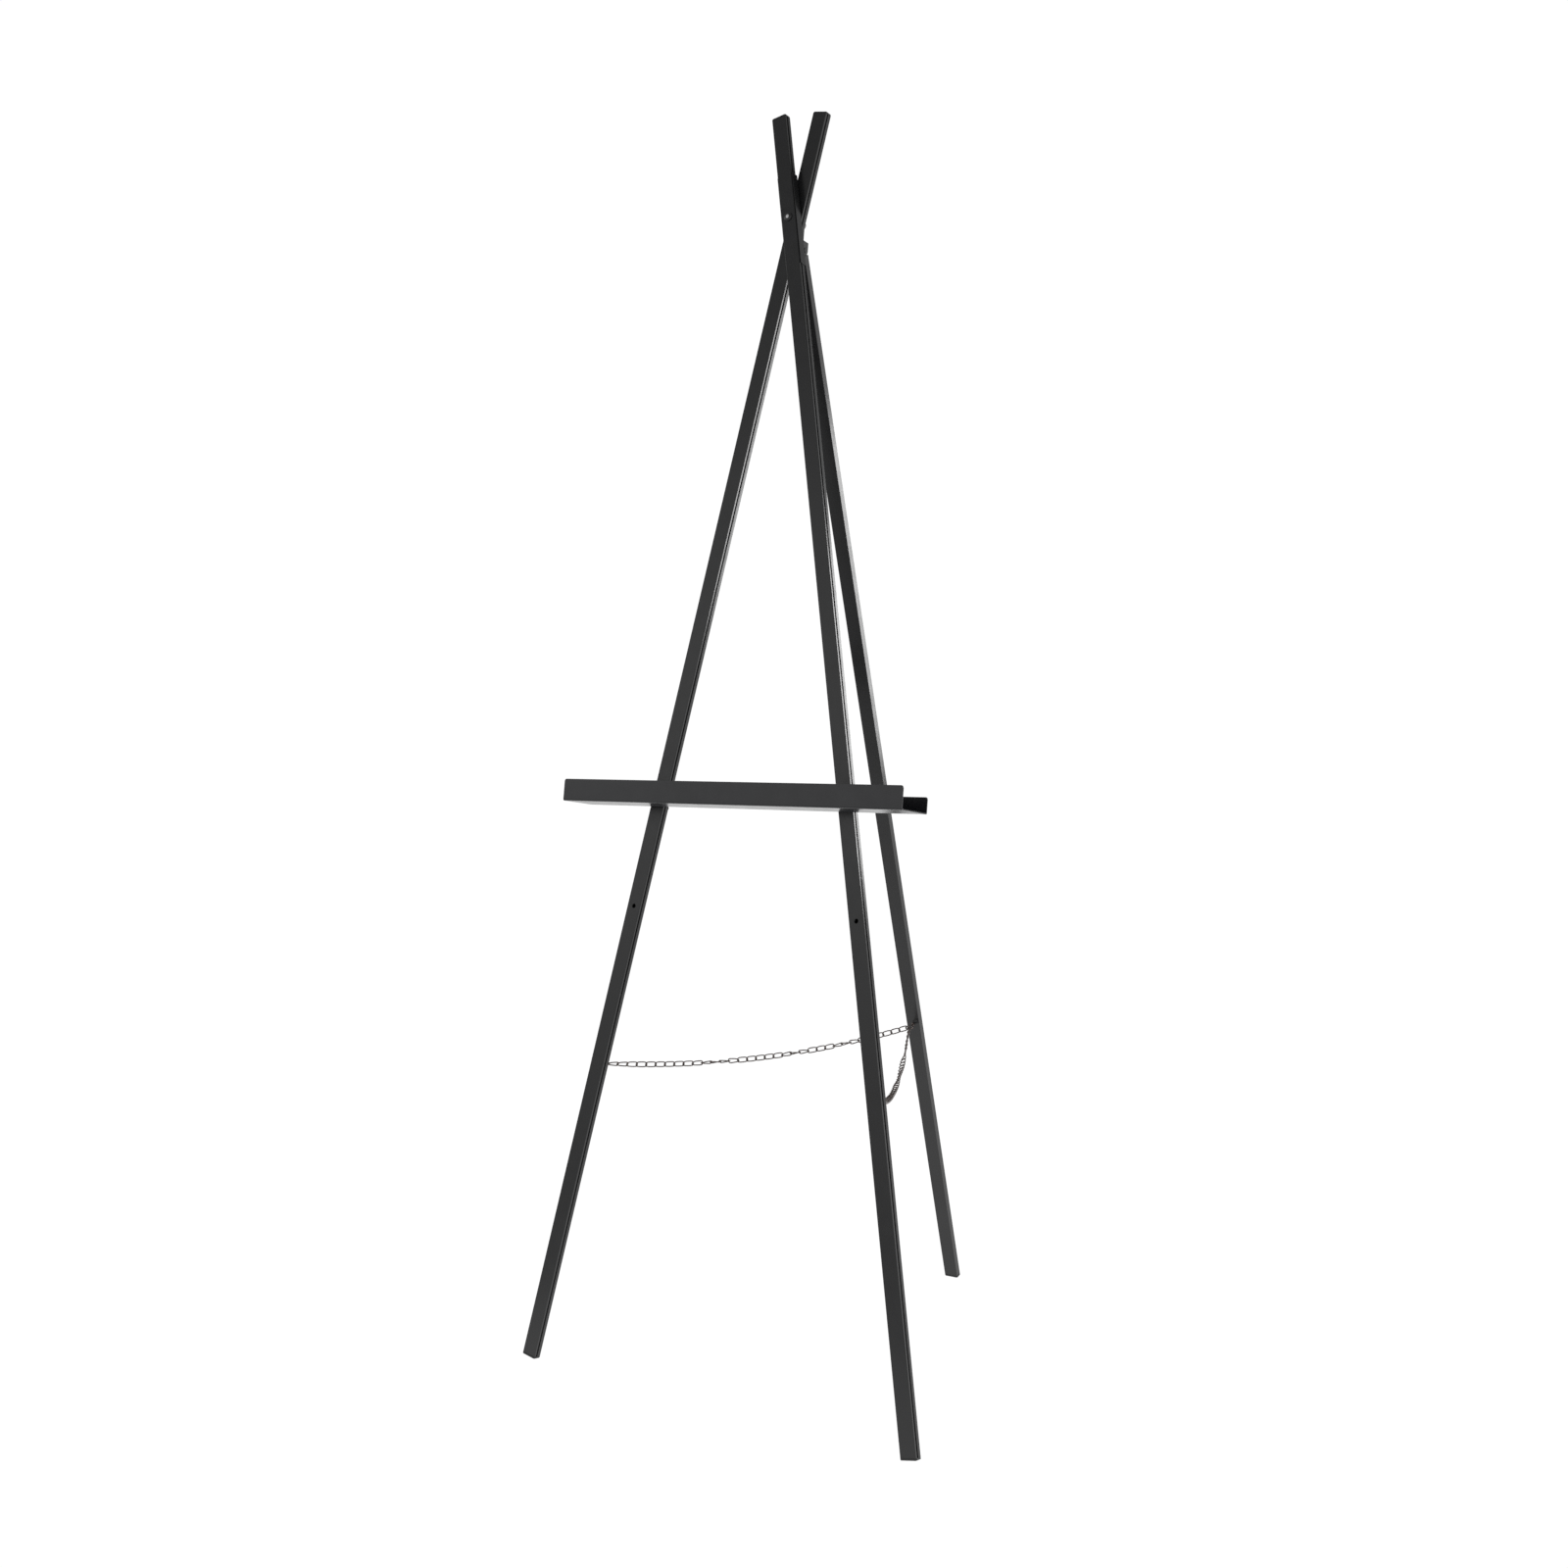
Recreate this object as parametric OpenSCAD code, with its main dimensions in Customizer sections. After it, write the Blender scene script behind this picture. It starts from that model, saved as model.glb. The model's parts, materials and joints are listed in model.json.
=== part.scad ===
// Folding tripod display easel: two front legs crossed on one pivot bolt, a hinged rear leg,
// a U-shaped picture tray on two wing bolts, and a chain that ties the three legs at knee height.
// Millimetres, +Z up, front towards -Y, origin on the floor at the middle of the footprint.

/* [Stance] */
// Height of the pivot bolt, measured up the leaning front plane
pivot_rise = 1440; // [1380:5:1480]
// Angle by which the front plane leans back
lean = 7.6; // [7:0.1:8.4]
// Half of the angle between the front legs
half_spread = 11.1; // [10:0.1:12]
// Angle by which the rear leg leans forward
rear_lean = 16; // [14:0.5:18]

/* [Front legs] */
// Length of a front leg with its two end caps
leg_len = 1600; // [1560:5:1640]
// Width of a front leg
leg_w = 20; // [19:0.5:22]
// Depth of a front leg from front to back
leg_t = 11; // [10.5:0.5:12]
// Gap between the right leg's back and the left leg's front
leg_gap = 2.8; // [2.6:0.1:3.4]
// Wall of every leg tube
wall = 1.2; // [1:0.1:1.4]
// Distance of the side grooves from a front leg's face
groove_top = 3.0; // [2.4:0.2:3.6]
// Width of the groove along each side
groove_w = 2.4; // [1.6:0.2:2.8]
// Depth of that groove
groove_d = 1.4; // [0.8:0.1:1.6]

/* [Rear leg] */
// Width of the rear leg
rear_w = 20; // [19.5:0.5:20.5]
// Depth of the rear leg from front to back
rear_t = 9.5; // [9:0.5:10]

/* [End caps] */
// Thickness of a cap's flange
flange = 2.5; // [2:0.5:3.5]
// How far a flange stands proud of its leg all round
proud = 0.5; // [0.3:0.1:0.8]
// Length of the plug inside the tube
plug_len = 14; // [8:1:20]

/* [Tray] */
// Height of the tray's floor, measured up the front plane
tray_rise = 706; // [690:2:730]
// Length of the tray
tray_len = 490; // [460:10:520]
// Sideways offset of the tray from the pivot bolt
tray_shift = 7; // [0:1:10]
// Depth of the tray over its back wall and lip
tray_depth = 56; // [50:1:62]
// Height of the front lip
lip_h = 27.4; // [24:0.2:34]
// Height of the back wall
back_h = 19.5; // [18.5:0.5:24]
// Thickness of the tray's sheet
sheet = 1.2; // [1:0.1:1.5]
// Spare holes, measured below the tray bolts along the leg
spare_drop = 138; // [110:1:160]

/* [Chain] */
// Height of the chain's eyes, measured up the front plane
chain_rise = 380; // [360:5:400]
// Pitch of the chain
link_pitch = 13.2; // [13.2:0.1:13.3]
// Width over one link
link_w = 7.4; // [6.8:0.2:7.6]
// Wire of a link
link_wire = 1.2; // [1:0.1:1.3]
// Sag of the left run below the line between its ends
left_sag = 16.5; // [10:0.5:20]
// Sag of the right run below the line between its ends
right_sag = 27; // [20:1:34]

/* [Hidden] */
$fn = 48;

// Fits
run_gap = 0.05;      // radial clearance of a turning fit
face_gap = 0.1;      // clearance between faces that turn on each other
plug_gap = 0.15;     // clearance of a plug in its tube

// Pivot joint, along the front plane's normal
pivot_r = 3;
head_r = 5.6;
head_h = 2.2;
saddle_t = 1.2;
saddle_len = 120;
saddle_below = 64;
washer_r = 7;
nylon_t = 1;
bracket_t = 2;
steel_washer_t = 1.2;
nut_h = 4.4;
steel_washer_r = 5.8;
left_front = -(leg_t + leg_gap);           // front face of the left leg
left_back = left_front - leg_t;            // back face of the left leg
bracket_front = left_back - face_gap - nylon_t;
bracket_back = bracket_front - bracket_t;

// Rear hinge, in the front plane's own axes
rear_x = -2;
pin_drop = 33;
pin_back = -31.3;
pin_r = 2;
knuckle_r = 4.6;
knuckle_rise = 5.5;
knuckle_w = 16.6;
ear_t = 1.6;
ear_gap = knuckle_w + 2 * face_gap;

// Tray bolts
bolt_r = 2.5;
bolt_up = 11;                              // bolt above the tray's underside
bolt_head_r = 5.4;
bolt_head_h = 2.6;
tray_gap = 0.2;
small_washer_t = 1;
small_washer_r = 6;
wing_h = 9;
fold_each = 10;                            // each front leg's travel when the easel closes
bolt_reach = (pivot_rise - tray_rise - bolt_up) / cos(half_spread);
tray_drop = bolt_reach * (cos(half_spread - fold_each) - cos(half_spread));
mid_drop = bolt_reach * (cos(half_spread - fold_each / 2) - cos(half_spread));
slot_extra = mid_drop - tray_drop / 2;     // how far the bolts sink in the slots half way

// Chain eyes
eye_wire = 0.9;
eye_ring = 3.6;
eye_reach = 9;
rear_eye_ring = 5;
rear_eye_reach = 11;
rear_eye_up = 399;                         // rear eye along the rear leg from its foot
eye_depth = 5;
left_links = 34;
right_links = 35;

// Lengths that put all three feet on the floor
right_drop = (pivot_rise - (leg_w / 2 + proud) * sin(half_spread)
    - (leg_t + proud) * tan(lean)) / cos(half_spread);
left_drop = (pivot_rise - (leg_w / 2 + proud) * sin(half_spread)
    - (proud - left_back) * tan(lean)) / cos(half_spread);
pivot_y = pivot_rise * sin(lean);
pivot_z = pivot_rise * cos(lean);
pin_y = pivot_y - pin_drop * sin(lean) - pin_back * cos(lean);
pin_z = pivot_z - pin_drop * cos(lean) + pin_back * sin(lean);
rear_len = (pin_z - (rear_t / 2 + proud) * sin(rear_lean)) / cos(rear_lean) - knuckle_rise;
rear_foot_y = pin_y + (rear_len + knuckle_rise) * sin(rear_lean) - rear_t / 2 * cos(rear_lean);
rear_foot_z = proud * sin(rear_lean);

// Middle of the footprint
foot_edge = (leg_w / 2 + proud) * cos(half_spread);
mid_x = (right_drop - left_drop) * sin(half_spread) / 2;
right_foot_u = pivot_rise - right_drop * cos(half_spread) - (leg_w / 2 + proud) * sin(half_spread);
y_front = right_foot_u * sin(lean) - proud * cos(lean);
y_back = rear_foot_y + (rear_t + proud) * cos(rear_lean);
mid_y = (y_front + y_back) / 2;

// ---- frames ----

// Front plane: x across, y up the plane, z out of its front, origin on the pivot bolt
module on_plane() {
    translate([-mid_x, pivot_y - mid_y, pivot_z]) rotate([90 - lean, 0, 0]) children();
}

// A front leg's own axes: y along the leg, z = 0 on its front face
module on_right_leg() {
    on_plane() rotate([0, 0, half_spread]) children();
}

module on_left_leg() {
    on_plane() translate([0, 0, left_front]) rotate([0, 0, -half_spread]) children();
}

// Rear leg's own axes: z up the leg, y = 0 on its front face
module on_rear_leg() {
    translate([rear_x - mid_x, rear_foot_y - mid_y, rear_foot_z]) rotate([rear_lean, 0, 0]) children();
}

// ---- shapes that repeat ----

// Outline of a grooved tube, shrunk by the inset on every side
function grooved_outline(w, t, inset) =
    let (a = w / 2 - inset, b = a - groove_d, c = 0.6 * (inset == 0 ? 1 : 0.01),
         top = -inset, low = -t + inset, g1 = -groove_top + inset, g2 = -groove_top - groove_w - inset)
    [[-a + c, top], [a - c, top], [a, top - c], [a, g1], [b, g1], [b, g2], [a, g2], [a, low + c],
     [a - c, low], [-a + c, low], [-a, low + c], [-a, g2], [-b, g2], [-b, g1], [-a, g1], [-a, top - c]];

// Rectangle with small chamfers, from y = 0 back to y = -t
module chamfered(w, t, c) {
    a = w / 2;
    polygon([[-a + c, 0], [a - c, 0], [a, -c], [a, -t + c], [a - c, -t], [-a + c, -t], [-a, -t + c], [-a, -c]]);
}

// Hollow front leg from its foot end to its top end, drop = distance of the foot below the pivot
module grooved_leg(drop) {
    eye_at = (pivot_rise - chain_rise) / cos(half_spread);
    difference() {
        translate([0, leg_len - drop - flange, 0]) rotate([90, 0, 0])
            linear_extrude(leg_len - 2 * flange) difference() {
                polygon(grooved_outline(leg_w, leg_t, 0));
                polygon(grooved_outline(leg_w, leg_t, wall));
            }
        translate([0, 0, -leg_t - 1]) cylinder(r = pivot_r + run_gap, h = leg_t + 2);
        for (at = [bolt_reach, bolt_reach + spare_drop])
            translate([0, -at, -leg_t - 1]) cylinder(r = bolt_r + 0.1, h = leg_t + 2);
        translate([0, -eye_at, -leg_t - 1]) cylinder(r = eye_wire + run_gap, h = 4);
    }
}

// End cap: a flange outside the tube and a plug inside it, plug towards +z
module end_cap(w, t, plug_w) {
    translate([0, proud, 0]) linear_extrude(flange) chamfered(w + 2 * proud, t + 2 * proud, 1.4);
    translate([0, -wall - plug_gap, flange])
        linear_extrude(plug_len) chamfered(plug_w, t - 2 * wall - 2 * plug_gap, 0.6);
}

module leg_cap() {
    color("#1b1b1c") end_cap(leg_w, leg_t, leg_w - 2 * wall - 2 * groove_d - 2 * plug_gap);
}

// Ring washer from z = 0 down
module washer(inner_r, outer_r, t) {
    translate([0, 0, -t]) difference() {
        cylinder(r = outer_r, h = t);
        translate([0, 0, -1]) cylinder(r = inner_r, h = t + 2);
    }
}

// Dome-headed bolt: head from z = 0 upwards, shank down
module dome_bolt(shank_r, shank_len, dome_r, dome_h) {
    rim = 0.6;
    cap_r = (dome_r * dome_r + (dome_h - rim) * (dome_h - rim)) / (2 * (dome_h - rim));
    translate([0, 0, -shank_len]) cylinder(r = shank_r, h = shank_len + rim);
    cylinder(r = dome_r, h = rim);
    intersection() {
        translate([0, 0, dome_h - cap_r]) sphere(r = cap_r, $fn = 64);
        translate([0, 0, rim / 2]) cylinder(r = dome_r, h = dome_h);
    }
}

// Screw eye: flanged shank along +z into the leg, ring in the plane of x and z
module screw_eye(ring_r, reach) {
    color("#3b3634") {
        translate([0, 0, -reach + ring_r]) cylinder(r = eye_wire, h = reach - ring_r + eye_depth);
        translate([0, 0, -0.8]) cylinder(r = 2.6, h = 0.8);
        translate([0, 0, -reach]) rotate([90, 0, 0]) rotate_extrude() translate([ring_r, 0]) circle(r = eye_wire);
    }
}

// Wing nut: hub from z = 0 down, one wing to each side
module wing_nut() {
    hub_r = 4.6;
    hub_h = 6;
    color("#232324") difference() {
        union() {
            translate([0, 0, -hub_h]) cylinder(r = hub_r, h = hub_h);
            for (turn = [0, 180])
                rotate([90, 0, turn]) translate([0, 0, -0.9]) linear_extrude(1.8)
                    polygon([[2.8, -1], [6, -1], [11.6, -6.2], [12.2, -7.8], [11.4, -9], [9.6, -wing_h],
                             [7.2, -7.4], [2.8, -hub_h + 0.4]]);
        }
        translate([0, 0, -wing_h - 1]) cylinder(r = bolt_r + run_gap, h = wing_h + 2);
    }
}

// One flat link, long axis along x, standing in the plane of x and z
module link() {
    long = link_pitch - 0.3;
    r = link_w / 2;
    straight = long - link_w;
    rotate([90, 0, 0]) translate([0, 0, -link_wire / 2]) linear_extrude(link_wire) difference() {
        union() {
            square([straight, link_w], center = true);
            for (side = [-1, 1]) translate([side * straight / 2, 0]) circle(r = r);
        }
        square([straight, link_w - 2 * link_wire], center = true);
        for (side = [-1, 1]) translate([side * straight / 2, 0]) circle(r = r - link_wire);
    }
}

// ---- chain routes ----

// Point of the front plane in the model's axes
function plane_point(x, u, n) =
    [x - mid_x, u * sin(lean) - n * cos(lean) - mid_y, u * cos(lean) + n * sin(lean)];

eye_x = (pivot_rise - chain_rise) * tan(half_spread);
left_start = plane_point(-eye_x, chain_rise, left_back - eye_reach);
right_start = plane_point(eye_x, chain_rise, -leg_t - eye_reach);
rear_eye = [rear_x - mid_x,
    rear_foot_y - mid_y - rear_eye_up * sin(rear_lean) - rear_eye_reach * cos(rear_lean),
    rear_foot_z + rear_eye_up * cos(rear_lean) - rear_eye_reach * sin(rear_lean)];
bar_in = link_wire / 2 + 0.5;              // a link's end bar inside a front eye
rear_bar_in = 3.0;                         // the same inside the wider rear eye
front_link_roll = 47;                      // twist of the link in a front eye
rear_link_roll = 14;                       // twist of the link in the rear eye

function towards(a, b, d) = let (v = [b[0] - a[0], b[1] - a[1], 0]) a + v * d / norm(v);
function on_run(a, b, sag, t) = a + (b - a) * t - [0, 0, 4 * sag * t * (1 - t)];

// Links first to last of a run of the given count; its two end links are twisted about the run
module run_of_links(a, b, sag, count, first, last, front_roll, rear_roll) {
    from = towards(a, b, bar_in - link_wire);
    to = towards(b, a, rear_bar_in - link_wire);
    color("#6b625c") for (i = [first : last]) {
        t = (i + 0.5) / count;
        p = on_run(from, to, sag, t);
        d = on_run(from, to, sag, t + 0.01) - on_run(from, to, sag, t - 0.01);
        heading = atan2(d[1], d[0]);
        climb = atan2(d[2], norm([d[0], d[1]]));
        roll = i == 0 ? front_roll : i == count - 1 ? rear_roll : 0;
        translate(p) rotate([roll, -climb, heading]) link();
    }
}

// ---- hinge at the top ----

module hinge_bracket() {
    ear_r = 5.2;
    outer = ear_gap / 2 + ear_t;
    shoulder = 22;
    tab_half = 6.4;
    color("#202021") on_plane() difference() {
        union() {
            translate([-tab_half, -28, bracket_back]) cube([2 * tab_half, 35, bracket_t]);
            translate([rear_x - outer, -28, bracket_back]) cube([2 * outer, 28 - shoulder, bracket_t]);
            for (side = [-1, 1])
                translate([rear_x + side * (ear_gap + ear_t) / 2 - ear_t / 2, 0, 0]) {
                    translate([0, -pin_drop, pin_back - ear_r]) cube([ear_t, pin_drop - shoulder, bracket_front - pin_back + ear_r]);
                    translate([0, -pin_drop, pin_back]) rotate([0, 90, 0]) cylinder(r = ear_r, h = ear_t);
                }
        }
        translate([0, 0, bracket_back - 1]) cylinder(r = pivot_r + run_gap, h = bracket_t + 2);
        translate([rear_x - outer - 1, -pin_drop, pin_back]) rotate([0, 90, 0])
            cylinder(r = pin_r + run_gap, h = 2 * outer + 2);
    }
}

module pivot_bolt() {
    color("#2a2a2b") on_plane() translate([0, 0, face_gap])
        dome_bolt(pivot_r, -bracket_back + steel_washer_t + nut_h + 0.6, head_r, head_h);
}

module pivot_lock_nut() {
    color("#2a2a2b") on_plane() translate([0, 0, bracket_back - steel_washer_t - nut_h]) difference() {
        union() {
            translate([0, 0, 1.6]) cylinder(r = 5.75, h = nut_h - 1.6, $fn = 6);
            cylinder(r = 4.6, h = 2);
        }
        translate([0, 0, -1]) cylinder(r = pivot_r, h = nut_h + 2);
    }
}

module pivot_steel_washer() {
    color("#2a2a2b") on_plane() translate([0, 0, bracket_back]) washer(pivot_r, steel_washer_r, steel_washer_t);
}

// One washer between the legs and one between the left leg and the bracket
module pivot_nylon_washers() {
    color("#d8d6d0") on_plane() {
        translate([0, 0, -leg_t - saddle_t - face_gap])
            washer(pivot_r, washer_r, leg_gap - saddle_t - 2 * face_gap);
        translate([0, 0, left_back - face_gap]) washer(pivot_r, washer_r, nylon_t);
    }
}

module rear_hinge_pin() {
    outer = ear_gap / 2 + ear_t;
    color("#2a2a2b") on_plane() translate([rear_x, -pin_drop, pin_back]) rotate([0, 90, 0]) {
        translate([0, 0, -outer - 0.8]) cylinder(r = pin_r, h = 2 * outer + 1.6);
        for (side = [-1, 1]) translate([0, 0, side * (outer + 0.6) - 0.6]) cylinder(r = 3.4, h = 1.2);
    }
}

// ---- right front leg ----

module front_leg_right() {
    color("#303033") on_right_leg() grooved_leg(right_drop);
}

module foot_cap_right() {
    on_right_leg() translate([0, -right_drop, 0]) rotate([-90, 180, 0]) leg_cap();
}

module top_cap_right() {
    on_right_leg() translate([0, leg_len - right_drop, 0]) rotate([90, 0, 0]) leg_cap();
}

// Sheet saddle round the back and sides of the right leg at the pivot
module pivot_saddle() {
    inner = leg_w + 0.1;
    color("#1d1d1e") on_right_leg() difference() {
        translate([-inner / 2 - saddle_t, -saddle_below, -leg_t - saddle_t])
            cube([inner + 2 * saddle_t, saddle_len, leg_t + saddle_t - 1.6]);
        translate([-inner / 2, -saddle_below - 1, -leg_t]) cube([inner, saddle_len + 2, leg_t + 2]);
        translate([0, 0, -leg_t - saddle_t - 1]) cylinder(r = pivot_r + run_gap, h = saddle_t + 2);
    }
}

module chain_eye_right() {
    on_right_leg() translate([0, -(pivot_rise - chain_rise) / cos(half_spread), -leg_t])
        screw_eye(eye_ring, eye_reach);
}

module tray_bolt_right() {
    color("#2a2a2b") on_right_leg() translate([0, -bolt_reach, tray_gap + sheet + face_gap])
        dome_bolt(bolt_r, leg_t + 15, bolt_head_r, bolt_head_h);
}

module tray_washer_right() {
    color("#8d8f92") on_right_leg() translate([0, -bolt_reach, -leg_t])
        washer(bolt_r + run_gap, small_washer_r, small_washer_t);
}

module wing_nut_right() {
    on_right_leg() translate([0, -bolt_reach, -leg_t - small_washer_t - face_gap])
        rotate([0, 0, 80]) wing_nut();
}

// ---- left front leg ----

module front_leg_left() {
    color("#303033") on_left_leg() grooved_leg(left_drop);
}

module foot_cap_left() {
    on_left_leg() translate([0, -left_drop, 0]) rotate([-90, 180, 0]) leg_cap();
}

module top_cap_left() {
    on_left_leg() translate([0, leg_len - left_drop, 0]) rotate([90, 0, 0]) leg_cap();
}

module chain_eye_left() {
    on_left_leg() translate([0, -(pivot_rise - chain_rise) / cos(half_spread), -leg_t])
        screw_eye(eye_ring, eye_reach);
}

module tray_bolt_left() {
    color("#2a2a2b") on_left_leg() translate([0, -bolt_reach, tray_gap + sheet + face_gap - left_front])
        dome_bolt(bolt_r, leg_t - left_front + 15, bolt_head_r, bolt_head_h);
}

// Sleeve that fills the space between the tray and the left leg, which stands behind the right one
module tray_spacer_left() {
    color("#1d1d1e") on_left_leg() translate([0, -bolt_reach, tray_gap - face_gap - left_front])
        washer(bolt_r + run_gap, 5, tray_gap - face_gap - left_front);
}

module tray_washer_left() {
    color("#8d8f92") on_left_leg() translate([0, -bolt_reach, -leg_t])
        washer(bolt_r + run_gap, small_washer_r, small_washer_t);
}

module wing_nut_left() {
    on_left_leg() translate([0, -bolt_reach, -leg_t - small_washer_t - face_gap])
        rotate([0, 0, 100]) wing_nut();
}

// ---- rear leg ----

module rear_leg() {
    color("#303033") on_rear_leg() difference() {
        translate([0, 0, flange]) linear_extrude(rear_len - 2 * flange) difference() {
            translate([0, rear_t]) chamfered(rear_w, rear_t, 0.6);
            translate([0, rear_t - wall]) chamfered(rear_w - 2 * wall, rear_t - 2 * wall, 0.1);
        }
        translate([0, -1, rear_eye_up]) rotate([-90, 0, 0]) cylinder(r = eye_wire + run_gap, h = 4);
    }
}

module rear_end_cap() {
    color("#1b1b1c") translate([0, rear_t, 0]) end_cap(rear_w, rear_t, rear_w - 2 * wall - 2 * plug_gap);
}

module foot_cap_rear() {
    on_rear_leg() rear_end_cap();
}

// Top plug of the rear leg with the knuckle that turns on the hinge pin
module rear_hinge_head() {
    color("#1b1b1c") on_rear_leg() translate([0, 0, rear_len]) {
        difference() {
            union() {
                translate([0, rear_t / 2, knuckle_rise]) rotate([0, 90, 0])
                    translate([0, 0, -knuckle_w / 2]) cylinder(r = knuckle_r, h = knuckle_w);
                translate([-knuckle_w / 2, rear_t / 2 - knuckle_r, -1]) cube([knuckle_w, 2 * knuckle_r, knuckle_rise + 1]);
            }
            translate([-knuckle_w, rear_t / 2, knuckle_rise]) rotate([0, 90, 0])
                cylinder(r = pin_r + run_gap, h = 2 * knuckle_w);
        }
        mirror([0, 0, 1]) rear_end_cap();
    }
}

module chain_eye_rear() {
    on_rear_leg() translate([0, 0, rear_eye_up]) rotate([-90, 0, 0]) screw_eye(rear_eye_ring, rear_eye_reach);
}

// ---- tray ----

// Slot for a tray bolt, from its place in use to its place with the legs closed
module bolt_slot(side) {
    open_x = bolt_reach * sin(half_spread);
    shut_x = bolt_reach * sin(half_spread - fold_each);
    top = bolt_up + bolt_r + 0.3;
    low = bolt_up - bolt_r - slot_extra - 0.3;
    r = (top - low) / 2;
    reach = r - bolt_r + 1;
    from = side > 0 ? shut_x - reach : -open_x - reach;
    translate([from, (top + low) / 2, -1]) {
        cylinder(r = r, h = sheet + 3);
        translate([0, -r, 0]) cube([open_x - shut_x + 2 * reach, 2 * r, sheet + 3]);
        translate([open_x - shut_x + 2 * reach, 0, 0]) cylinder(r = r, h = sheet + 3);
    }
}

// Points of an arc about c, from one angle to another
function arc(c, r, from, to) = [for (i = [0 : 5]) c + r * [cos(from + (to - from) * i / 5), sin(from + (to - from) * i / 5)]];

// Section of the tray: x up the front plane, y out of its front
function tray_section(bend) =
    let (inner = bend - sheet, back = [bend, bend], front = [bend, tray_depth - bend])
    concat([[back_h, 0]], arc(back, bend, 270, 180), arc(front, bend, 180, 90),
        [[lip_h, tray_depth], [lip_h, tray_depth - sheet]],
        arc(front, inner, 90, 180), arc(back, inner, 180, 270), [[back_h, sheet]]);

// Face of a tray wall with rounded top corners
module wall_face(h, corner) {
    half = tray_len / 2;
    polygon(concat([[-half, -1], [half, -1]], arc([half - corner, h - corner], corner, 0, 90),
        arc([corner - half, h - corner], corner, 90, 180)));
}

module tray() {
    half = tray_len / 2;
    color("#3d3d41") on_plane() translate([0, tray_rise - pivot_rise, tray_gap]) difference() {
        intersection() {
            translate([tray_shift - half, 0, 0]) rotate([90, 0, 90]) linear_extrude(tray_len) polygon(tray_section(2));
            union() {
                translate([tray_shift, 0, -1]) linear_extrude(tray_depth / 2) wall_face(back_h, 2.5);
                translate([tray_shift, 0, tray_depth / 2 - 2]) linear_extrude(tray_depth) wall_face(lip_h, 3);
            }
        }
        for (side = [-1, 1]) bolt_slot(side);
    }
}

// ---- chain ----

module chain_left_front_half() {
    run_of_links(left_start, rear_eye, left_sag, left_links, 0, 16, front_link_roll, 0);
}

module chain_left_rear_half() {
    run_of_links(left_start, rear_eye, left_sag, left_links, 17, left_links - 1, 0, -rear_link_roll);
}

module chain_right_front_half() {
    run_of_links(right_start, rear_eye, right_sag, right_links, 0, 16, -front_link_roll, 0);
}

module chain_right_rear_half() {
    run_of_links(right_start, rear_eye, right_sag, right_links, 17, right_links - 1, 0, rear_link_roll);
}

hinge_bracket();
pivot_bolt();
pivot_lock_nut();
pivot_steel_washer();
pivot_nylon_washers();
rear_hinge_pin();
front_leg_right();
foot_cap_right();
top_cap_right();
pivot_saddle();
chain_eye_right();
tray_bolt_right();
tray_washer_right();
wing_nut_right();
front_leg_left();
foot_cap_left();
top_cap_left();
chain_eye_left();
tray_bolt_left();
tray_spacer_left();
tray_washer_left();
wing_nut_left();
rear_leg();
foot_cap_rear();
rear_hinge_head();
chain_eye_rear();
tray();
chain_left_front_half();
chain_left_rear_half();
chain_right_front_half();
chain_right_rear_half();
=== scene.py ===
"""Folding tripod display easel: looks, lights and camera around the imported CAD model.

Each shape is made in millimetres in its part's own axes, and a matrix places it in the shared
frame, which is in metres.
"""

import json
import math
from contextlib import contextmanager

import bmesh
import bpy
from mathutils import Matrix, Quaternion, Vector


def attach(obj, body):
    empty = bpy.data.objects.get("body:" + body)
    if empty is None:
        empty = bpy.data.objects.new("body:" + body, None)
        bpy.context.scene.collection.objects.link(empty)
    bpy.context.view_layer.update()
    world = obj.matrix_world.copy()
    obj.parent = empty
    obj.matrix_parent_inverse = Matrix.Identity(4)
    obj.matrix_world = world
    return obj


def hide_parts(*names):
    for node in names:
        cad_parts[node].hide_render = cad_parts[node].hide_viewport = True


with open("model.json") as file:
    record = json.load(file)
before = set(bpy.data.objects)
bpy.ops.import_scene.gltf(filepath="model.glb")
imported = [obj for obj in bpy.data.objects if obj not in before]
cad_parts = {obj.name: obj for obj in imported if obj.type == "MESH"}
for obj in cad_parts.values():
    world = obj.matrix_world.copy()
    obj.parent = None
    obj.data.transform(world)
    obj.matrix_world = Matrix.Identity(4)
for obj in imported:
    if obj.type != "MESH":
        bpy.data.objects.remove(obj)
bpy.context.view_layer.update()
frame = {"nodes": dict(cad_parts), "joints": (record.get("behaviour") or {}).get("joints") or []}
nodes = frame["nodes"]
joints = {j["name"]: j for j in frame["joints"]}

MM = 0.001

# ---- sizes that the CAD model has too, in millimetres, with angles in radians ----

LEAN = math.radians(7.6)  # front legs, backwards
SPREAD = math.radians(11.1)  # each front leg, sideways
REAR_LEAN = math.radians(16)
FOLD_EACH = math.radians(10)  # each front leg's travel when the easel closes
PIVOT_RISE = 1440.0  # from the floor up the front plane
LEG_LEN, LEG_W, LEG_T, LEG_GAP, WALL = 1600.0, 20.0, 11.0, 2.8, 1.2
GROOVE_TOP, GROOVE_W, GROOVE_D = 3.0, 2.4, 1.4
REAR_W, REAR_T = 20.0, 9.5
FLANGE, PROUD, PLUG, PLUG_GAP = 2.5, 0.5, 14.0, 0.15
TRAY_RISE, TRAY_LEN, TRAY_SHIFT, TRAY_DEPTH = 706.0, 490.0, 7.0, 56.0
LIP_H, BACK_H, SHEET, TRAY_GAP = 27.4, 19.5, 1.2, 0.2
SLOT_HALF, SLOT_END = 2.8, 1.0  # half height round a bolt, and room beyond it at each end
FACE_GAP = 0.1  # between faces that turn on each other
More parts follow.
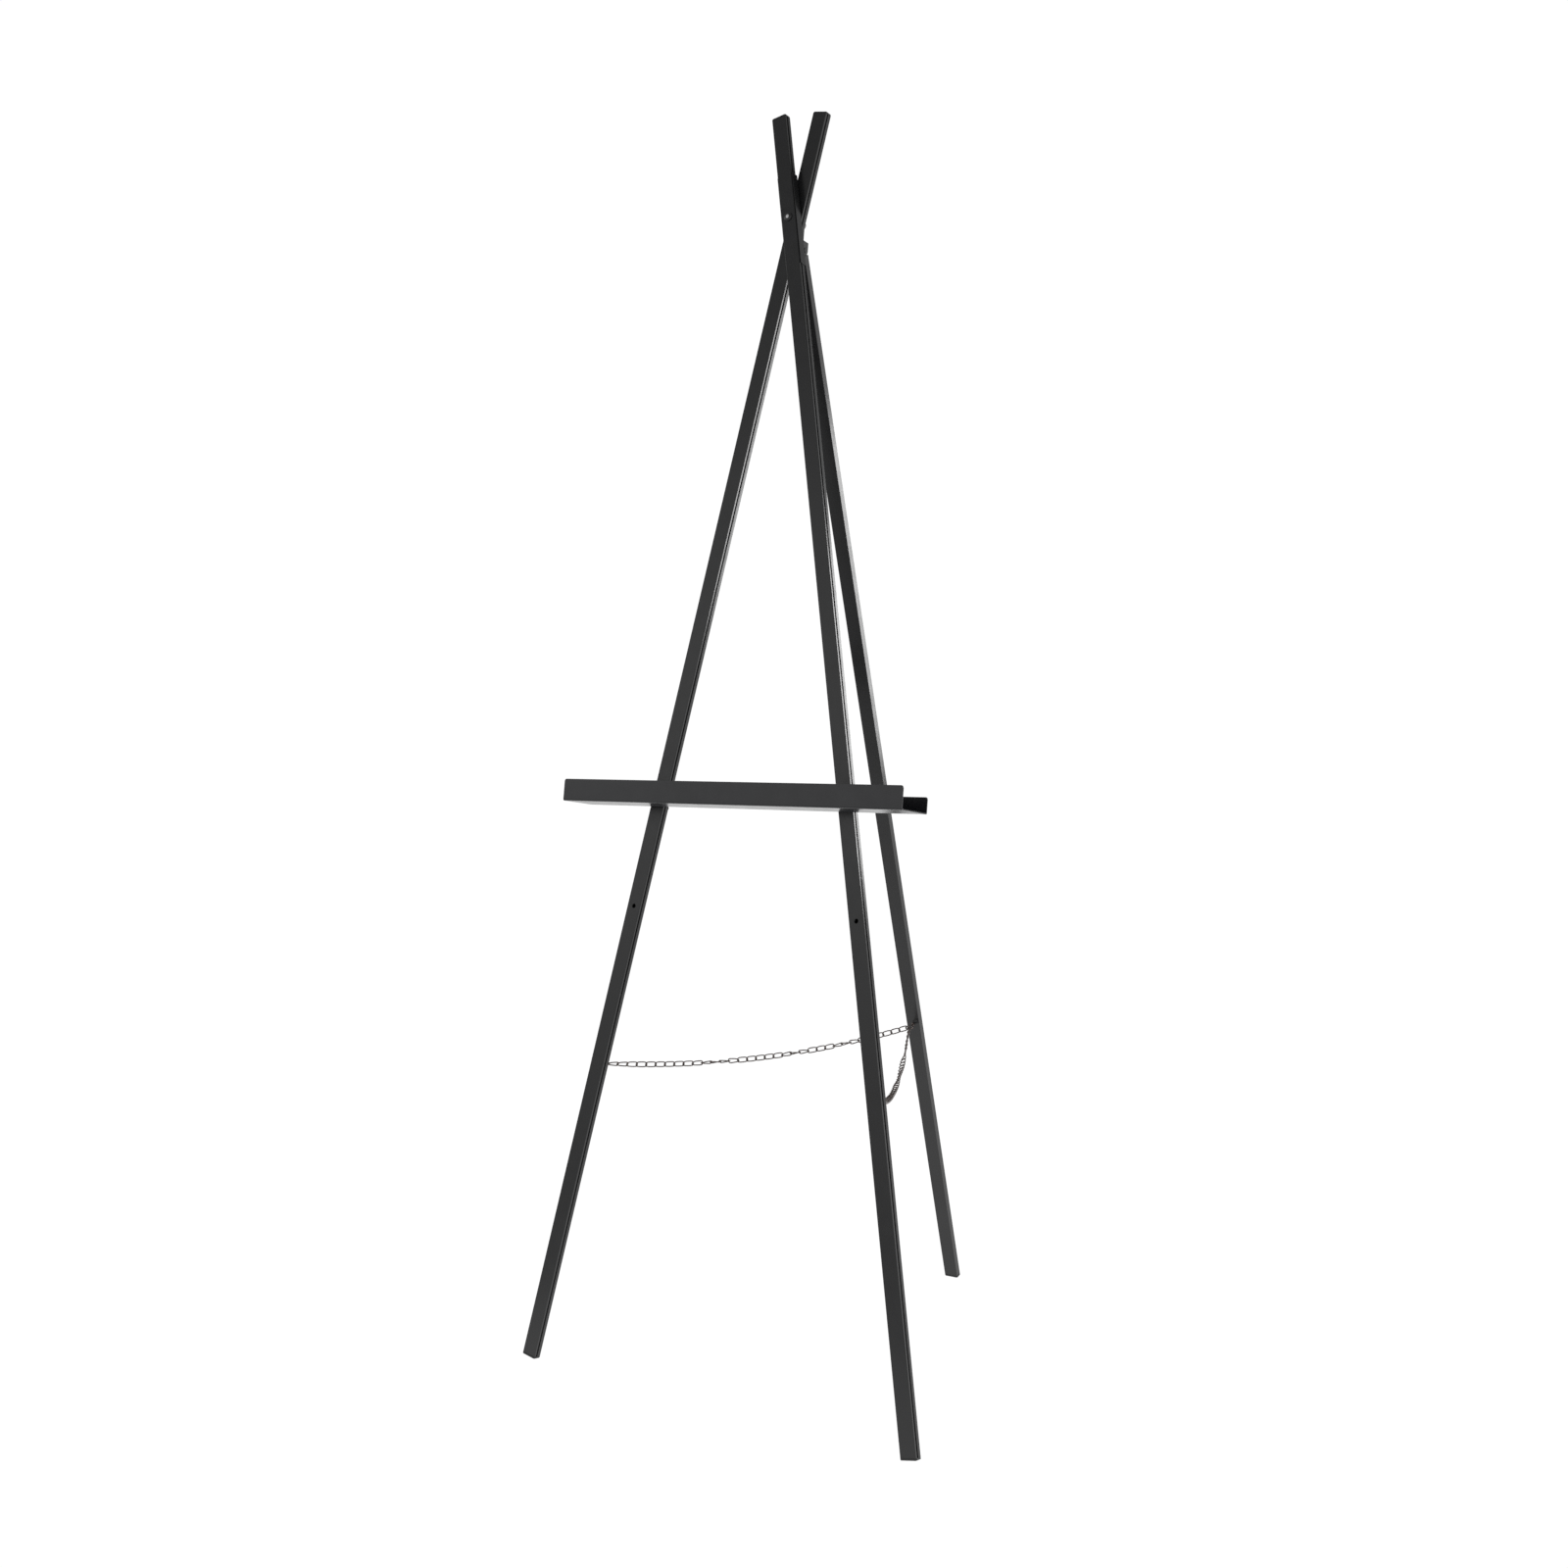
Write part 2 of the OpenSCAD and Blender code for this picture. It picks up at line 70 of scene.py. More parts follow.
PIVOT_R, PIVOT_HOLE_R, HEAD_R, HEAD_H = 3.0, 3.05, 5.6, 2.2
NYLON_T, BRACKET_T, STEEL_WASHER_T, NUT_H, BOLT_END = 1.0, 2.0, 1.2, 4.4, 0.6
BOLT_R, HOLE_R, BOLT_HEAD_R, BOLT_HEAD_H = 2.5, 2.6, 5.4, 2.6
BOLT_UP, BOLT_TAIL, SMALL_WASHER_T, SPARE_DROP = 11.0, 15.0, 1.0, 138.0
KNUCKLE_RISE = 5.5
CHAIN_RISE, REAR_EYE_UP = 380.0, 399.0
EYE_WIRE, EYE_RING, EYE_REACH = 0.9, 3.6, 9.0
REAR_EYE_RING, REAR_EYE_REACH = 5.0, 11.0

LEFT_FRONT = -(LEG_T + LEG_GAP)
BRACKET_BACK = LEFT_FRONT - LEG_T - FACE_GAP - NYLON_T - BRACKET_T
BOLT_REACH = (PIVOT_RISE - TRAY_RISE - BOLT_UP) / math.cos(SPREAD)
EYE_DOWN = (PIVOT_RISE - CHAIN_RISE) / math.cos(SPREAD)


def foot_drop(behind):
    """Distance from the pivot down a leg to its sole, whose back is so far behind the front plane."""
    side = (LEG_W / 2 + PROUD) * math.sin(SPREAD)
    return (PIVOT_RISE - side - behind * math.tan(LEAN)) / math.cos(SPREAD)


RIGHT_DROP = foot_drop(LEG_T + PROUD)
LEFT_DROP = foot_drop(PROUD - LEFT_FRONT + LEG_T)

# ---- sizes of the finer shapes made here, in millimetres ----

CORNER, LIP, INNER_CORNER, INNER_LIP = 0.55, 0.2, 0.15, 0.05
LIP_DRAW = 0.15  # the narrow side leans in this much above its groove
HOLE_RIM = 0.35
CAP_CORNER, CAP_EDGE, CAP_EDGE_CORNER = 2.4, 0.3, 2.1
PLUG_CORNER, PLUG_TAPER, PLUG_TAPER_LEN = 0.5, 0.8, 1.5
FOOT_ROUND, TOP_ROUND = 1.0, 2.2  # rounding of a foot's sole and of a top cap's end
SOLE_GROOVES = (-6, -3, 0, 3, 6)
SOLE_GROOVE_R, SOLE_GROOVE_UNDER, SOLE_GROOVE_MARGIN = 0.55, 0.15, 1.4
BENT_R, BACK_CORNER, LIP_CORNER, SHEET_EDGE = 2.0, 2.5, 3.0, 0.42
# the third is the radius of the painted highlight in the middle of the pivot's head
SOCKET_R, SOCKET_DEPTH, HIGHLIGHT_R, WING_EDGE = 1.7, 1.6, 2.1, 0.55
EYE_DEPTH = 4
WIRE_R, LINK_HALF_W, LINK_TWIST = 0.78, 3.05, 0.72
RUN_STEPS = 600
HALF_RUN = 17  # links in the front half of each run
TINY, TINY_CUT, TINY_AREA = 1e-5, 1e-4, 1e-9
WELD_METRES = 1e-6
BEVEL_STEPS = 3

PIVOT = "pivot_assembly"
RIGHT = "front_leg_right_assembly"
LEFT = "front_leg_left_assembly"
REAR = "rear_leg_assembly"

# ---- frames, which take millimetres to metres ----

up = Vector((0, math.sin(LEAN), math.cos(LEAN)))
out = Vector((0, -math.cos(LEAN), math.sin(LEAN)))


def frame_of(origin, x, y, z):
    """A matrix from millimetres along three axes to metres from an origin."""
    m = Matrix.Identity(4)
    for i, v in enumerate((x, y, z)):
        for row in range(3):
            m[row][i] = v[row] * MM
    for row in range(3):
        m[row][3] = origin[row]
    return m


# a front leg's axes: x across, y up the leg, z out of its front face
pivot_point = Vector(joints["front_leg_right_fold"]["pos_m"])
plane = frame_of(pivot_point, Vector((1, 0, 0)), up, out)
right_leg = plane @ Matrix.Rotation(SPREAD, 4, "Z")
left_leg = plane @ Matrix.Translation((0, 0, LEFT_FRONT)) @ Matrix.Rotation(-SPREAD, 4, "Z")
# the rear leg's axes: x across, y backwards from its front face, z up the leg from its foot
pin_point = Vector(joints["rear_leg_fold"]["pos_m"])
pin_rise = pin_point.z / MM - (REAR_T / 2 + PROUD) * math.sin(REAR_LEAN)
rear_len = pin_rise / math.cos(REAR_LEAN) - KNUCKLE_RISE
rear_leg = (
    Matrix.Translation(pin_point)
    @ Matrix.Scale(MM, 4)
    @ Matrix.Rotation(REAR_LEAN, 4, "X")
    @ Matrix.Translation((0, -REAR_T / 2, -rear_len - KNUCKLE_RISE))
)
FACING_UP = Matrix.Rotation(math.radians(-90), 4, "X")
# a tube's or cap's own z runs up or down the leg, and its y out of the leg's front
ALONG_LEG = Matrix(((1, 0, 0, 0), (0, 0, 1, 0), (0, 1, 0, 0), (0, 0, 0, 1)))
AGAINST_LEG = Matrix(((1, 0, 0, 0), (0, 0, -1, 0), (0, 1, 0, 0), (0, 0, 0, 1)))

# ---- materials ----


def new_material(name):
    m = bpy.data.materials.new(name)
    m.use_nodes = True
    nt = m.node_tree
    return m, nt, nt.nodes["Principled BSDF"]


def noise(nt, coords, scale, detail, rough):
    n = nt.nodes.new("ShaderNodeTexNoise")
    for socket, value in (("Scale", scale), ("Detail", detail), ("Roughness", rough)):
        n.inputs[socket].default_value = value
    nt.links.new(coords.outputs["Object"], n.inputs["Vector"])
    return n.outputs["Fac"]


def ramp(nt, source, low, high, low_at=0.3, high_at=0.7):
    r = nt.nodes.new("ShaderNodeValToRGB")
    ends = r.color_ramp.elements
    ends[0].position, ends[1].position = low_at, high_at
    ends[0].color, ends[1].color = (*low, 1), (*high, 1)
    nt.links.new(source, r.inputs["Fac"])
    return r.outputs["Color"]


def map_range(nt, source, low, high, low_at=0.3, high_at=0.7, easing="LINEAR"):
    """A number from low to high while the source goes from low_at to high_at."""
    r = nt.nodes.new("ShaderNodeMapRange")
    r.interpolation_type = easing
    for socket, value in (("From Min", low_at), ("From Max", high_at), ("To Min", low), ("To Max", high)):
        r.inputs[socket].default_value = value
    nt.links.new(source, r.inputs["Value"])
    return r.outputs["Result"]


def bumps(nt, bsdf, layers):
    """Stacks bump layers, each (height socket, strength, depth in millimetres)."""
    last = None
    for height, strength, depth in layers:
        b = nt.nodes.new("ShaderNodeBump")
        b.inputs["Strength"].default_value = strength
        b.inputs["Distance"].default_value = depth * MM
        nt.links.new(height, b.inputs["Height"])
        if last is not None:
            nt.links.new(last.outputs["Normal"], b.inputs["Normal"])
        last = b
    nt.links.new(last.outputs["Normal"], bsdf.inputs["Normal"])


def powder_coat(name, dark, light, rough_low, rough_high):
    """Fine-textured satin paint: orange peel, tiny grains, faint handling marks."""
    m, nt, bsdf = new_material(name)
    co = nt.nodes.new("ShaderNodeTexCoord")
    cloud = noise(nt, co, scale=14, detail=4, rough=0.55)
    tint = ramp(nt, cloud, dark, light, low_at=0.35, high_at=0.68)
    nt.links.new(tint, bsdf.inputs["Base Color"])
    marks = noise(nt, co, scale=60, detail=5, rough=0.65)
    nt.links.new(map_range(nt, marks, rough_low, rough_high), bsdf.inputs["Roughness"])
    peel = noise(nt, co, scale=620, detail=2, rough=0.5)
    grain = noise(nt, co, scale=2600, detail=1, rough=0.5)
    bumps(nt, bsdf, [(peel, 0.2, 0.012), (grain, 0.2, 0.004)])
    return m


def moulded_plastic(name, dark, light, rough_low, rough_high):
    """Matt plastic with a faint cloud and a spark-eroded mould's grain."""
    m, nt, bsdf = new_material(name)
    co = nt.nodes.new("ShaderNodeTexCoord")
    cloud = noise(nt, co, scale=90, detail=3, rough=0.6)
    nt.links.new(ramp(nt, cloud, dark, light), bsdf.inputs["Base Color"])
    nt.links.new(map_range(nt, cloud, rough_low, rough_high), bsdf.inputs["Roughness"])
    spark = noise(nt, co, scale=3200, detail=1, rough=0.5)
    bumps(nt, bsdf, [(spark, 0.5, 0.02)])
    return m


def plated_metal(name, dark, light, rough_low, rough_high, scratch_scale):
    """Bare or plated metal, clouded, with fine scratches in its gloss."""
    m, nt, bsdf = new_material(name)
    bsdf.inputs["Metallic"].default_value = 1.0
    co = nt.nodes.new("ShaderNodeTexCoord")
    cloud = noise(nt, co, scale=260, detail=4, rough=0.65)
    nt.links.new(ramp(nt, cloud, dark, light), bsdf.inputs["Base Color"])
    fine = noise(nt, co, scale=scratch_scale, detail=4, rough=0.7)
    nt.links.new(map_range(nt, fine, rough_low, rough_high), bsdf.inputs["Roughness"])
    bumps(nt, bsdf, [(fine, 0.3, 0.01)])
    return m


leg_coat = powder_coat("leg_powder_coat", (0.0085, 0.0086, 0.0092), (0.0115, 0.0116, 0.0124), 0.2, 0.28)
tray_coat = powder_coat("tray_powder_coat", (0.0095, 0.0098, 0.0118), (0.0125, 0.0129, 0.0155), 0.2, 0.27)
black_steel = powder_coat("black_plated_steel", (0.011, 0.011, 0.0115), (0.016, 0.016, 0.0165), 0.18, 0.3)
cap_plastic = moulded_plastic("cap_plastic", (0.011, 0.011, 0.0115), (0.016, 0.016, 0.0165), 0.38, 0.5)
wing_plastic = moulded_plastic("wing_nut_plastic", (0.012, 0.012, 0.0125), (0.018, 0.018, 0.0185), 0.32, 0.42)
nylon = moulded_plastic("nylon", (0.68, 0.67, 0.62), (0.78, 0.77, 0.73), 0.35, 0.45)
zinc = plated_metal("zinc_plated_steel", (0.42, 0.43, 0.45), (0.62, 0.63, 0.65), 0.25, 0.42, 1500)
# bright glossy steel, used only for the painted highlight in the middle of the pivot's head
painted_highlight_steel = plated_metal("painted_highlight_steel", (0.86, 0.86, 0.86), (0.95, 0.95, 0.95), 0.12, 0.2, 1500)
chain_metal = plated_metal("chain_steel", (0.075, 0.062, 0.058), (0.19, 0.16, 0.15), 0.28, 0.45, 2200)

# ---- mesh helpers, all in millimetres until placed ----


@contextmanager
def editing(me):
    """A mesh opened for bmesh work and written back at the end."""
    bm = bmesh.new()
    bm.from_mesh(me)
    yield bm
    bm.to_mesh(me)
    bm.free()


def make_mesh(name, verts, faces):
    """A mesh with its doubled points merged and its faces turned outwards."""
    me = bpy.data.meshes.new(name)
    me.from_pydata([tuple(v) for v in verts], [], faces)
    with editing(me) as bm:
        bmesh.ops.remove_doubles(bm, verts=bm.verts, dist=TINY)
        bmesh.ops.recalc_face_normals(bm, faces=bm.faces)
    return me


def make_object(name, me):
    o = bpy.data.objects.new(name, me)
    bpy.context.scene.collection.objects.link(o)
    return o


def bake(o):
    """Applies the object's modifiers to its mesh."""
    dg = bpy.context.evaluated_depsgraph_get()
    dg.update()
    me = bpy.data.meshes.new_from_object(o.evaluated_get(dg))
    o.modifiers.clear()
    o.data = me


def boolean(o, operation, other):
    b = o.modifiers.new(operation.lower(), "BOOLEAN")
    b.operation = operation
    b.solver = "EXACT"
    b.object = other


def cut(o, cutters):
    """Takes the cutters out of an object, and clears the faces without area that this leaves."""
    for c in cutters:
        boolean(o, "DIFFERENCE", c)
    bake(o)
    with editing(o.data) as bm:
        bmesh.ops.remove_doubles(bm, verts=bm.verts, dist=TINY_CUT)
        bmesh.ops.dissolve_degenerate(bm, dist=TINY_CUT, edges=bm.edges)
    for c in cutters:
        bpy.data.objects.remove(c)


def bevel(o, width, angle):
    """Rounds the edges sharper than an angle in degrees."""
    b = o.modifiers.new("bevel", "BEVEL")
    b.width = width
    b.segments = BEVEL_STEPS
    b.limit_method = "ANGLE"
    b.angle_limit = math.radians(angle)
    b.use_clamp_overlap = True


def smooth(o, angle):
    """Shades smooth up to an angle in degrees, and keeps large faces flat."""
    for p in o.data.polygons:
        p.use_smooth = True
    o.data.set_sharp_from_angle(angle=math.radians(angle))
    w = o.modifiers.new("flat_faces", "WEIGHTED_NORMAL")
    w.weight = 100
    w.keep_sharp = True


def finish_piece(o, matrix, material, body, node):
    """Places a millimetre mesh in the shared frame, paints it and hangs it on its body."""
    o.data.transform(matrix)
    if matrix.determinant() < 0:  # as for the front feet's caps
        o.data.flip_normals()
    o.data.materials.clear()
    o.data.materials.append(material)
    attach(o, body)
    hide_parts(node)


def rounded(corners, seg=4):
    """A closed outline from (x, y, radius) corners, each turned into an arc."""
    pts = []
    n = len(corners)
    for i, (x, y, r) in enumerate(corners):
        p = Vector((x, y))
        a = Vector(corners[i - 1][:2]) - p
        b = Vector(corners[(i + 1) % n][:2]) - p
        half = a.angle(b) / 2
        reach = r / math.tan(half)
        start, end = p + a.normalized() * reach, p + b.normalized() * reach
        centre = p + (a.normalized() + b.normalized()).normalized() * (r / math.sin(half))
        a0 = math.atan2(start.y - centre.y, start.x - centre.x)
        a1 = math.atan2(end.y - centre.y, end.x - centre.x)
        turn = (a1 - a0 + math.pi) % (2 * math.pi) - math.pi
        for k in range(seg + 1):
            t = a0 + turn * k / seg
            pts.append(centre + Vector((math.cos(t), math.sin(t))) * r)
    return pts


def tube_between(name, outer, inner, length):
    """A hollow bar along +z from two outlines with the same number of points."""
    n = len(outer)
    verts, faces = [], []
    for z in (0, length):
        verts += [(p.x, p.y, z) for p in outer]
        verts += [(p.x, p.y, z) for p in inner]
    for i in range(n):
        j = (i + 1) % n
        faces.append((i, j, 2 * n + j, 2 * n + i))
        faces.append((n + j, n + i, 3 * n + i, 3 * n + j))
        faces.append((j, i, n + i, n + j))
        faces.append((2 * n + i, 2 * n + j, 3 * n + j, 3 * n + i))
    return make_mesh(name, verts, faces)


def loft(name, rings):
    """A closed solid through rings of equal length, its first and last ring filled."""
    n = len(rings[0])
    verts = [v for ring in rings for v in ring]
    faces = [tuple(range(n - 1, -1, -1)), tuple(range((len(rings) - 1) * n, len(rings) * n))]
    for k in range(len(rings) - 1):
        for i in range(n):
            j = (i + 1) % n
            faces.append((k * n + i, k * n + j, (k + 1) * n + j, (k + 1) * n + i))
    return make_mesh(name, verts, faces)


def lathe(name, profile, sides=48):
    """A solid of revolution about z from (radius, z) points, closed on itself."""
    verts, faces = [], []
    m = len(profile)
    for k in range(sides):
        a = 2 * math.pi * k / sides
        verts += [(r * math.cos(a), r * math.sin(a), z) for r, z in profile]
    for k in range(sides):
        nxt = (k + 1) % sides
        for i in range(m):
            j = (i + 1) % m
            faces.append((k * m + i, k * m + j, nxt * m + j, nxt * m + i))
    me = make_mesh(name, verts, faces)
    with editing(me) as bm:
        flat = [f for f in bm.faces if f.calc_area() < TINY_AREA]
        bmesh.ops.delete(bm, geom=flat, context="FACES")
        bmesh.ops.dissolve_degenerate(bm, dist=TINY, edges=bm.edges)
    return me


def cutter(profile, sides):
    return make_object("cutter", lathe("cutter", profile, sides))


def sweep(path, radius, closed, sides):
    """Vertices and faces of a round wire along a path that never runs along y."""
    n = len(path)
    verts, faces = [], []
    for i, p in enumerate(path):
        before = path[i - 1] if (closed or i > 0) else p
        after = path[(i + 1) % n] if (closed or i < n - 1) else p
        t = (after - before).normalized()
        u = Vector((0, 1, 0)).cross(t).normalized()
        v = t.cross(u)
        for k in range(sides):
            a = 2 * math.pi * k / sides
            verts.append(p + (u * math.cos(a) + v * math.sin(a)) * radius)
    last = n if closed else n - 1
    for i in range(last):
        j = (i + 1) % n
        for k in range(sides):
            m = (k + 1) % sides
            faces.append((i * sides + k, i * sides + m, j * sides + m, j * sides + k))
    if not closed:
        faces.append(tuple(range(sides - 1, -1, -1)))
        faces.append(tuple(range((n - 1) * sides, n * sides)))
    return verts, faces


# ---- legs ----


def leg_outline(inset, corner, lip):
    """Outline of a grooved front leg: x across, y from the front face (0) to the back."""
    a, g = LEG_W / 2 - inset, LEG_W / 2 - inset - GROOVE_D
    y0, y1 = -inset, -LEG_T + inset
    g1, g2 = -GROOVE_TOP + inset, -GROOVE_TOP - GROOVE_W - inset
    side = [(a, y0, corner), (a - LIP_DRAW, g1, lip), (g, g1, lip)]
    side += [(g, g2, lip), (a, g2, lip), (a, y1, corner)]
    return rounded(side + [(-x, y, r) for x, y, r in reversed(side)])


def box_outline(w, t, inset, corner):
    """Outline of a plain bar with the same axes."""
    a = w / 2 - inset
    side = [(a, -inset, corner), (a, -t + inset, corner)]
    return rounded(side + [(-x, y, r) for x, y, r in reversed(side)], 5)


def hole_cutter(r):
    """Cutter along -z through a front leg, the hole's rims opened by a small chamfer."""
    wide, over = r + HOLE_RIM, 0.001
    prof = [(0, 1), (wide, 1), (wide, over), (r, -HOLE_RIM), (r, -LEG_T + HOLE_RIM)]
    prof += [(wide, -LEG_T - over), (wide, -LEG_T - 1), (0, -LEG_T - 1)]
    return cutter(prof, 32)


def front_leg(name, matrix, drop, body):
    outer = leg_outline(0, CORNER, LIP)
    inner = leg_outline(WALL, INNER_CORNER, INNER_LIP)
    o = make_object(name + "_body", tube_between(name, outer, inner, LEG_LEN - 2 * FLANGE))
    o.data.transform(Matrix.Translation((0, -drop + FLANGE, 0)) @ ALONG_LEG)
    cutters = []
    for down, r in ((0, PIVOT_HOLE_R), (BOLT_REACH, HOLE_R), (BOLT_REACH + SPARE_DROP, HOLE_R)):
        c = hole_cutter(r)
        c.data.transform(Matrix.Translation((0, -down, 0)))
        cutters.append(c)
    cut(o, cutters)
    smooth(o, angle=28)
    finish_piece(o, matrix, leg_coat, body, name)


front_leg("front_leg_right", right_leg, RIGHT_DROP, RIGHT)
front_leg("front_leg_left", left_leg, LEFT_DROP, LEFT)

rear_outer = box_outline(REAR_W, REAR_T, 0, CORNER)
rear_inner = box_outline(REAR_W, REAR_T, WALL, INNER_CORNER)
rear_tube = make_object(
    "rear_leg_body", tube_between("rear_leg_body", rear_outer, rear_inner, rear_len - 2 * FLANGE)
)
rear_tube.data.transform(Matrix.Translation((0, REAR_T, FLANGE)))
smooth(rear_tube, angle=28)
finish_piece(rear_tube, rear_leg, leg_coat, REAR, "rear_leg")

# ---- end caps ----


def cap_rings(w, t, grooved, rounding):
    """Rings of an end cap: rounded flange from z = 0, then the plug up to the tube's inside."""
    big_w, big_t = w + 2 * PROUD, t + 2 * PROUD
    rings = []

    def add_ring(pts, z):
        rings.append([(p.x, p.y + PROUD, z) for p in pts])

    for k in range(5):
        a = math.radians(90 * k / 4)
        inset = rounding * (1 - math.sin(a))
        add_ring(box_outline(big_w, big_t, inset, CAP_CORNER - inset), rounding * (1 - math.cos(a)))
    add_ring(box_outline(big_w, big_t, 0, CAP_CORNER), FLANGE - CAP_EDGE)
    add_ring(box_outline(big_w, big_t, CAP_EDGE, CAP_EDGE_CORNER), FLANGE)
    side = PROUD + WALL + PLUG_GAP + (GROOVE_D if grooved else 0)
    plug_end = FLANGE + PLUG
    for z, taper in ((FLANGE, 0), (plug_end - PLUG_TAPER_LEN, 0), (plug_end, PLUG_TAPER)):
        a = big_w / 2 - side - taper
        front = -PROUD - WALL - PLUG_GAP - taper
        back = -big_t + PROUD + WALL + PLUG_GAP + taper
        corners = [(a, front), (a, back), (-a, back), (-a, front)]
        add_ring(rounded([(x, y, PLUG_CORNER) for x, y in corners], 5), z)
    return rings


def end_cap(name, matrix, body, w, t, grooved, foot):
    rings = cap_rings(w, t, grooved, FOOT_ROUND if foot else TOP_ROUND)
    o = make_object(name + "_body", loft(name, rings))
    if foot:
        # shallow anti-slip grooves across the sole
        half = t / 2 - SOLE_GROOVE_MARGIN
        across = Matrix.Rotation(math.radians(90), 4, "X")
        cutters = []
        for x in SOLE_GROOVES:
            c = cutter([(0, -half), (SOLE_GROOVE_R, -half), (SOLE_GROOVE_R, half), (0, half)], 12)
            c.data.transform(Matrix.Translation((x, -t / 2, -SOLE_GROOVE_UNDER)) @ across)
            cutters.append(c)
        cut(o, cutters)
    smooth(o, angle=40)
    finish_piece(o, matrix, cap_plastic, body, name)


for side, matrix, drop, body in (
    ("right", right_leg, RIGHT_DROP, RIGHT),
    ("left", left_leg, LEFT_DROP, LEFT),
):
    foot = matrix @ Matrix.Translation((0, -drop, 0)) @ ALONG_LEG
    top = matrix @ Matrix.Translation((0, LEG_LEN - drop, 0)) @ AGAINST_LEG
    end_cap("foot_cap_" + side, foot, body, LEG_W, LEG_T, grooved=True, foot=True)
    end_cap("top_cap_" + side, top, body, LEG_W, LEG_T, grooved=True, foot=False)
rear_foot = rear_leg @ Matrix.Translation((0, REAR_T, 0))
end_cap("foot_cap_rear", rear_foot, REAR, REAR_W, REAR_T, grooved=False, foot=True)

# ---- CAD nodes that keep their shape: softened edges and their own material ----


def weld(o, name):
    w = o.modifiers.new(name, "WELD")
    w.merge_threshold = WELD_METRES


def soften(node, material, width):
    """Joins a CAD node's flat faces, rounds its edges by a width in millimetres, and paints it."""
    o = nodes[node]
    weld(o, "weld")
    d = o.modifiers.new("planar", "DECIMATE")
    d.decimate_type = "DISSOLVE"
    d.angle_limit = math.radians(1)
    bevel(o, width * MM, 40)
    weld(o, "close")
    o.data.materials.clear()
    o.data.materials.append(material)
    for p in o.data.polygons:
        p.use_smooth = False


for node, material, width in (
    ("hinge_bracket", black_steel, 0.3),
    ("pivot_lock_nut", black_steel, 0.3),
    ("pivot_steel_washer", black_steel, 0.15),
    ("pivot_nylon_washers", nylon, 0.15),
    ("rear_hinge_pin", black_steel, 0.3),
    ("pivot_saddle", black_steel, 0.3),
    ("rear_hinge_head", cap_plastic, 0.4),
    ("tray_washer_right", zinc, 0.15),
    ("tray_washer_left", zinc, 0.15),
    ("tray_spacer_left", cap_plastic, 0.25),
):
    soften(node, material, width)

# ---- bolts ----


def dome_bolt(name, matrix, body, shank_r, shank_len, head_r, head_h, socket_r):
    """Button-head bolt: rounded head from z = 0 up, chamfered shank down, hex socket if it has a radius."""
    chamfer, rim, edge, roundness, steps = 0.6, 0.7, 0.15, 0.8, 10
    prof = [(0, -shank_len), (shank_r - chamfer, -shank_len), (shank_r, -shank_len + chamfer)]
    prof += [(shank_r, 0), (head_r - edge, 0), (head_r, edge), (head_r, rim)]
    for k in range(1, steps + 1):
        a = math.radians(90 * k / steps)
        r = head_r * math.cos(a) ** roundness if k < steps else 0
        prof.append((r, rim + (head_h - rim) * math.sin(a)))
    o = make_object(name + "_body", lathe(name, prof))
    if socket_r:
        low, high = head_h - SOCKET_DEPTH, head_h + 1
        cut(o, [cutter([(0, low), (socket_r, low), (socket_r, high), (0, high)], 6)])
    smooth(o, angle=35)
    finish_piece(o, matrix, black_steel, body, name)
    return o


pivot_bolt = dome_bolt(
    "pivot_bolt",
    plane @ Matrix.Translation((0, 0, FACE_GAP)),
    PIVOT,
    PIVOT_R,
    -BRACKET_BACK + STEEL_WASHER_T + NUT_H + BOLT_END,
    HEAD_R,
    HEAD_H,
    socket_r=0,
)
# a painted highlight: the faces round the middle of the pivot's head get bright glossy steel, standing for
# the head's glint
pivot_bolt.data.materials.append(painted_highlight_steel)
head_middle = plane @ Vector((0, 0, FACE_GAP + HEAD_H))
for p in pivot_bolt.data.polygons:
    if (p.center - head_middle).length < HIGHLIGHT_R * MM:
        p.material_index = 1

at_bolt = Matrix.Translation((0, -BOLT_REACH, TRAY_GAP + SHEET + FACE_GAP))
to_front = Matrix.Translation((0, 0, -LEFT_FRONT))
for name, matrix, body, through in (
    ("tray_bolt_right", right_leg, RIGHT, LEG_T),
    ("tray_bolt_left", left_leg @ to_front, LEFT, LEG_T - LEFT_FRONT),
):
    shank = through + BOLT_TAIL
    dome_bolt(name, matrix @ at_bolt, body, BOLT_R, shank, BOLT_HEAD_R, BOLT_HEAD_H, SOCKET_R)

# ---- wing nuts ----


def wing_nut(name, matrix, body):
    """Moulded wing nut: a waisted hub and two curved wings, thicker towards their tips."""
    r, h = 2.55, 6.0
    prof = [(r, 0), (4.9, 0), (5.1, -0.3), (4.7, -1.2), (4.3, -3.2), (4.1, -5.2), (3.7, -h), (r, -h)]
    hub = make_object(name + "_body", lathe(name, prof, 36))
    root, reach, thin, flare = 3.2, 9, 0.75, 0.35
    shape = [(root, -0.9), (6.0, -1.2), (8.4, -3.2), (11.2, -5.6), (12.2, -7.4)]
    shape += [(11.6, -8.8), (9.8, -9.0), (7.8, -8.0), (5.2, -6.2), (root, -5.6)]
    for turn in (0, math.pi):
        rings = [[(x, side * (thin + flare * (x - root) / reach), z) for x, z in shape] for side in (-1, 1)]
        wing = make_object("wing", loft("wing", rings))
        bevel(wing, WING_EDGE, 40)
        bake(wing)
        wing.data.transform(Matrix.Rotation(turn, 4, "Z"))
        boolean(hub, "UNION", wing)
        bake(hub)
        bpy.data.objects.remove(wing)
    smooth(hub, angle=38)
    finish_piece(hub, matrix, wing_plastic, body, name)


